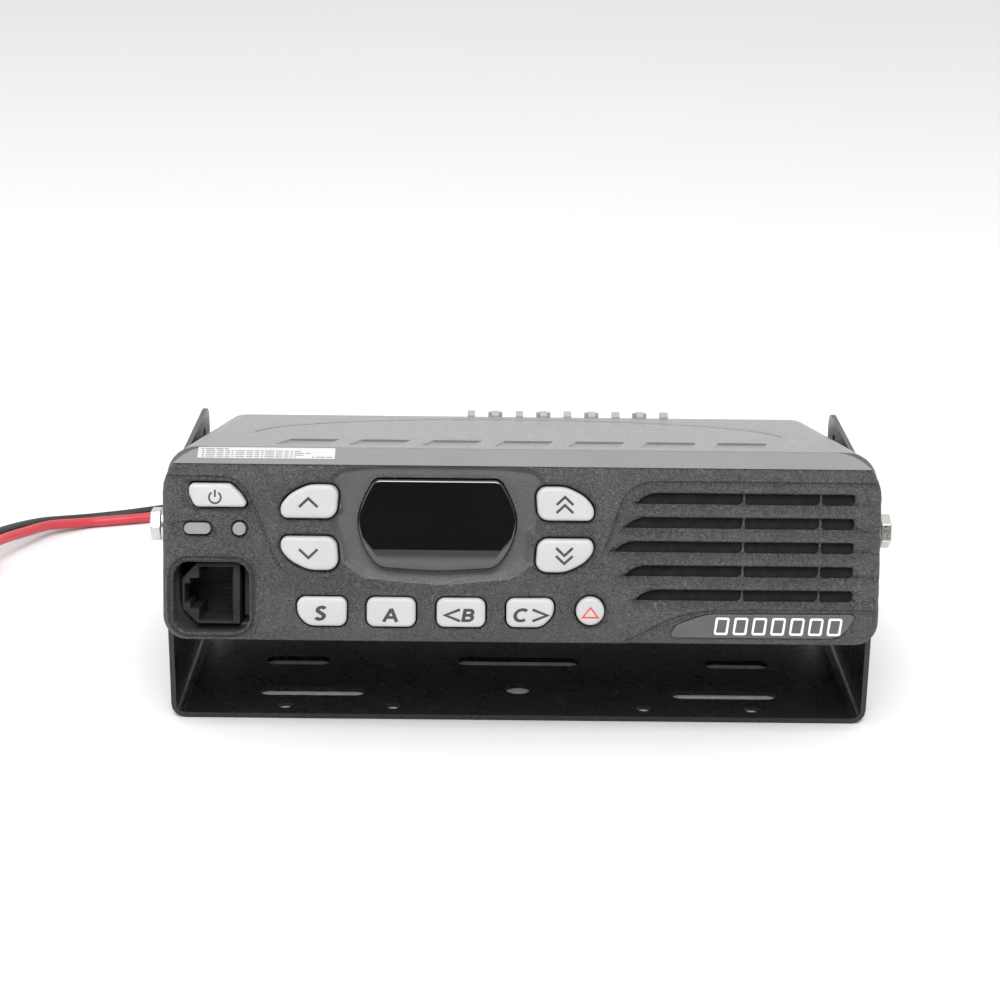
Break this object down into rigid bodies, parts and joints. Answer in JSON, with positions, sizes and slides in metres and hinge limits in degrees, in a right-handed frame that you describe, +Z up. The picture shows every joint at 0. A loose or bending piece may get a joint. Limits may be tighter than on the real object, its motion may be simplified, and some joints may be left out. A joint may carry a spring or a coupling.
{
  "type": "mobile radio transceiver",
  "caption": "Dash-mount two-way radio with a keypad, display window and speaker grille, held by bolts in a U-shaped bracket so that it tilts, with a short two-wire supply lead.",
  "frame": {"origin": "middle of the bounding box without the supply lead, on the underside of the bracket's base", "axes": "+X to the right as the front is faced, +Y to the back, +Z up; the bracket stands on the XY plane and the set leans back in it"},
  "size_m": [0.2448, 0.1733, 0.0684],
  "materials": {
    "mounting_bracket": "satin black powder coat",
    "supply_wire_red": "satin",
    "supply_wire_black": "satin",
    "lead_connector": "moulded nylon",
    "front_panel": "coarse grain",
    "key_power": "matt, printed symbol",
    "key_up": "matt, printed symbol",
    "key_down": "matt, printed symbol",
    "key_channel_up": "matt, printed symbol",
    "key_channel_down": "matt, printed symbol",
    "key_s": "matt, printed letter",
    "key_a": "matt, printed letter",
    "key_b": "matt, printed letter",
    "key_c": "matt, printed letter",
    "key_emergency": "matt, printed symbol",
    "display_window": "polished, dark tint",
    "lcd_module": "polarised glass",
    "backlight_guide": "moulded acrylic",
    "status_lens": "frosted",
    "call_lens": "frosted",
    "badge_plate": "fine satin, blank",
    "rating_label": "printed film, blank",
    "keypad_mat": "moulded silicone",
    "control_board": "solder mask",
    "mic_jack": "moulded",
    "speaker_frame": "pressed steel",
    "speaker_magnet": "ferrite",
    "speaker_cone": "coated paper",
    "speaker_felt": "dust cloth",
    "panel_seal": "matt",
    "chassis": "black anodised die casting",
    "top_cover": "fine texture paint",
    "case_screw_front_left": "zinc plated",
    "case_screw_front_right": "zinc plated",
    "case_screw_rear_left": "zinc plated",
    "case_screw_rear_right": "zinc plated",
    "main_board": "solder mask",
    "transmitter_shield": "tinned",
    "receiver_shield": "tinned",
    "rf_power_module": "epoxy case",
    "filter_capacitor": "sleeved",
    "ribbon_cable": "polyimide film",
    "antenna_connector": "nickel plated",
    "accessory_socket": "moulded",
    "external_speaker_jack": "moulded",
    "lead_gland": "matt",
    "pivot_bolt_left": "bright zinc",
    "pivot_bolt_right": "bright zinc",
    "pivot_washer_left": "bright zinc",
    "pivot_washer_right": "bright zinc"
  },
  "bodies": {
    "bracket": {"mounting_bracket": "mounting_bracket", "supply_wire_red": "supply_wire_red", "supply_wire_black": "supply_wire_black", "lead_connector": "lead_connector"},
    "radio": {"front_panel": "front_panel", "display_window": "display_window", "lcd_module": "lcd_module", "backlight_guide": "backlight_guide", "status_lens": "status_lens", "call_lens": "call_lens", "badge_plate": "badge_plate", "rating_label": "rating_label", "keypad_mat": "keypad_mat", "control_board": "control_board", "mic_jack": "mic_jack", "speaker_frame": "speaker_frame", "speaker_magnet": "speaker_magnet", "speaker_felt": "speaker_felt", "panel_seal": "panel_seal", "chassis": "chassis", "top_cover": "top_cover", "case_screw_front_left": "case_screw_front_left", "case_screw_front_right": "case_screw_front_right", "case_screw_rear_left": "case_screw_rear_left", "case_screw_rear_right": "case_screw_rear_right", "main_board": "main_board", "transmitter_shield": "transmitter_shield", "receiver_shield": "receiver_shield", "rf_power_module": "rf_power_module", "filter_capacitor": "filter_capacitor", "ribbon_cable": "ribbon_cable", "antenna_connector": "antenna_connector", "accessory_socket": "accessory_socket", "external_speaker_jack": "external_speaker_jack", "lead_gland": "lead_gland", "pivot_bolt_left": "pivot_bolt_left", "pivot_bolt_right": "pivot_bolt_right", "pivot_washer_left": "pivot_washer_left", "pivot_washer_right": "pivot_washer_right"},
    "key_power": {"key_power": "key_power"},
    "key_up": {"key_up": "key_up"},
    "key_down": {"key_down": "key_down"},
    "key_channel_up": {"key_channel_up": "key_channel_up"},
    "key_channel_down": {"key_channel_down": "key_channel_down"},
    "key_s": {"key_s": "key_s"},
    "key_a": {"key_a": "key_a"},
    "key_b": {"key_b": "key_b"},
    "key_c": {"key_c": "key_c"},
    "key_emergency": {"key_emergency": "key_emergency"},
    "speaker_cone": {"speaker_cone": "speaker_cone"}
  },
  "joints": [
    {"name": "radio_tilt", "type": "hinge", "parent": "bracket", "child": "radio", "pos_m": [0, -0.03467, 0.0457], "axis": [1, 0, 0], "range_deg": [-3, 27]},
    {"name": "key_power_press", "type": "slide", "parent": "radio", "child": "key_power", "axis": [0, 0.9776, -0.2103], "range_m": [0, 0.0006], "stiffness_N_per_m": 500},
    {"name": "key_up_press", "type": "slide", "parent": "radio", "child": "key_up", "axis": [0, 0.9776, -0.2103], "range_m": [0, 0.0006], "stiffness_N_per_m": 500},
    {"name": "key_down_press", "type": "slide", "parent": "radio", "child": "key_down", "axis": [0, 0.9776, -0.2103], "range_m": [0, 0.0006], "stiffness_N_per_m": 500},
    {"name": "key_channel_up_press", "type": "slide", "parent": "radio", "child": "key_channel_up", "axis": [0, 0.9776, -0.2103], "range_m": [0, 0.0006], "stiffness_N_per_m": 500},
    {"name": "key_channel_down_press", "type": "slide", "parent": "radio", "child": "key_channel_down", "axis": [0, 0.9776, -0.2103], "range_m": [0, 0.0006], "stiffness_N_per_m": 500},
    {"name": "key_s_press", "type": "slide", "parent": "radio", "child": "key_s", "axis": [0, 0.9776, -0.2103], "range_m": [0, 0.0006], "stiffness_N_per_m": 500},
    {"name": "key_a_press", "type": "slide", "parent": "radio", "child": "key_a", "axis": [0, 0.9776, -0.2103], "range_m": [0, 0.0006], "stiffness_N_per_m": 500},
    {"name": "key_b_press", "type": "slide", "parent": "radio", "child": "key_b", "axis": [0, 0.9776, -0.2103], "range_m": [0, 0.0006], "stiffness_N_per_m": 500},
    {"name": "key_c_press", "type": "slide", "parent": "radio", "child": "key_c", "axis": [0, 0.9776, -0.2103], "range_m": [0, 0.0006], "stiffness_N_per_m": 500},
    {"name": "key_emergency_press", "type": "slide", "parent": "radio", "child": "key_emergency", "axis": [0, 0.9776, -0.2103], "range_m": [0, 0.0006], "stiffness_N_per_m": 500},
    {"name": "speaker_cone_travel", "type": "slide", "parent": "radio", "child": "speaker_cone", "axis": [0, 0.9776, -0.2103], "range_m": [-0.0004, 0.0004], "stiffness_N_per_m": 1500}
  ]
}
